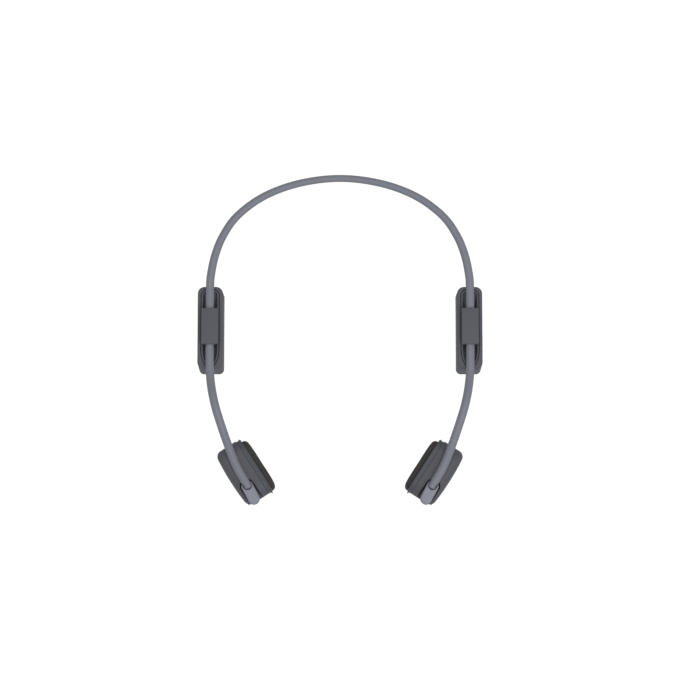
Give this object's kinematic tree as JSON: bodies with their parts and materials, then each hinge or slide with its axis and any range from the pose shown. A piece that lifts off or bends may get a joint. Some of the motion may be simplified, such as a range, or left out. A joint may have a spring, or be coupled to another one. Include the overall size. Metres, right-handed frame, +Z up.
{
  "type": "bone conduction headphones",
  "caption": "Bone conduction headphones: a sprung neckband with an oblong module behind each ear and a padded driver pod that swivels on each end",
  "frame": {"origin": "on the surface that the headset stands on, under the middle of its bounding box", "axes": "+Z up, +Y towards the nape of the neckband, -Y the way the wearer faces, +X the wearer's left side"},
  "size_m": [0.142, 0.165, 0.0312],
  "materials": {
    "band_silicone": "matte light blue-grey silicone skin",
    "housing_plastic": "fine matte moulded grey plastic",
    "rim_plastic": "satin moulded grey plastic",
    "mesh_pad": "dark brown-black fine mesh over a soft pad",
    "seal_rubber": "matte dark rubber",
    "spring_metal": "drawn spring wire and sheet",
    "steel": "stamped steel",
    "magnet_plating": "bright nickel plating",
    "coil_copper": "enamelled copper winding",
    "board_green": "solder mask",
    "cell_foil": "pouch cell foil",
    "dark_plastic": "black moulded plastic",
    "light_pipe": "clear-white light pipe"
  },
  "bodies": {
    "nape": {"nape_band_jacket": "band_silicone", "nape_spring_wire": "spring_metal"},
    "right_arm": {"right_band_jacket": "band_silicone", "right_spring_wire": "spring_metal", "right_module_shell": "housing_plastic", "right_module_cover": "housing_plastic", "right_band_clamp": "housing_plastic", "right_cover_screw_front": "steel", "right_cover_screw_rear": "steel", "main_board": "board_green", "processor_shield": "steel", "volume_up_switch": "dark_plastic", "volume_down_switch": "dark_plastic", "main_switch": "dark_plastic", "charging_socket": "steel", "light_pipe": "light_pipe", "microphone": "dark_plastic", "right_knuckle": "band_silicone", "right_swivel_pin": "steel"},
    "left_arm": {"left_band_jacket": "band_silicone", "left_spring_wire": "spring_metal", "left_module_shell": "housing_plastic", "left_module_cover": "housing_plastic", "left_band_clamp": "housing_plastic", "left_cover_screw_front": "steel", "left_cover_screw_rear": "steel", "battery_cell": "cell_foil", "battery_board": "board_green", "left_knuckle": "band_silicone", "left_swivel_pin": "steel"},
    "right_pod": {"right_pod_shell": "housing_plastic", "right_pod_rim": "rim_plastic", "right_pod_gasket": "seal_rubber", "right_contact_pad": "mesh_pad", "right_driver_yoke": "steel", "right_driver_magnet": "magnet_plating", "right_driver_coil": "coil_copper", "right_suspension_plate": "spring_metal", "right_drive_block": "dark_plastic"},
    "left_pod": {"left_pod_shell": "housing_plastic", "left_pod_rim": "rim_plastic", "left_pod_gasket": "seal_rubber", "left_contact_pad": "mesh_pad", "left_driver_yoke": "steel", "left_driver_magnet": "magnet_plating", "left_driver_coil": "coil_copper", "left_suspension_plate": "spring_metal", "left_drive_block": "dark_plastic"},
    "volume_up_key": {"volume_up_button": "housing_plastic"},
    "volume_down_key": {"volume_down_button": "housing_plastic"},
    "main_key": {"main_button": "housing_plastic"},
    "port_flap": {"charging_port_flap": "seal_rubber"}
  },
  "joints": [
    {"name": "right_band_flex", "type": "hinge", "parent": "nape", "child": "right_arm", "pos_m": [-0.04519, 0.06712, 0.023], "axis": [0, 0, -1], "range_deg": [0, 12], "stiffness_Nm_per_rad": 0.6},
    {"name": "left_band_flex", "type": "hinge", "parent": "nape", "child": "left_arm", "pos_m": [0.04519, 0.06712, 0.023], "axis": [0, 0, 1], "range_deg": [0, 12], "stiffness_Nm_per_rad": 0.6},
    {"name": "right_pod_swivel", "type": "hinge", "parent": "right_arm", "child": "right_pod", "pos_m": [-0.04569, -0.07359, 0.0192], "axis": [0, 0, -1], "range_deg": [0, 7]},
    {"name": "left_pod_swivel", "type": "hinge", "parent": "left_arm", "child": "left_pod", "pos_m": [0.04569, -0.07359, 0.0192], "axis": [0, 0, 1], "range_deg": [0, 7]},
    {"name": "volume_up_press", "type": "slide", "parent": "right_arm", "child": "volume_up_key", "axis": [1, 0, 0], "range_m": [0, 0.0004], "stiffness_N_per_m": 400, "springref_m": -0.0005},
    {"name": "volume_down_press", "type": "slide", "parent": "right_arm", "child": "volume_down_key", "axis": [1, 0, 0], "range_m": [0, 0.0004], "stiffness_N_per_m": 400, "springref_m": -0.0005},
    {"name": "main_press", "type": "slide", "parent": "right_arm", "child": "main_key", "axis": [1, 0, 0], "range_m": [0, 0.0004], "stiffness_N_per_m": 400, "springref_m": -0.0005},
    {"name": "port_flap_hinge", "type": "hinge", "parent": "right_arm", "child": "port_flap", "pos_m": [-0.06355, 0.02566, 0.00675], "axis": [-1, 0, 0], "range_deg": [0, 100], "stiffness_Nm_per_rad": 0.001}
  ]
}
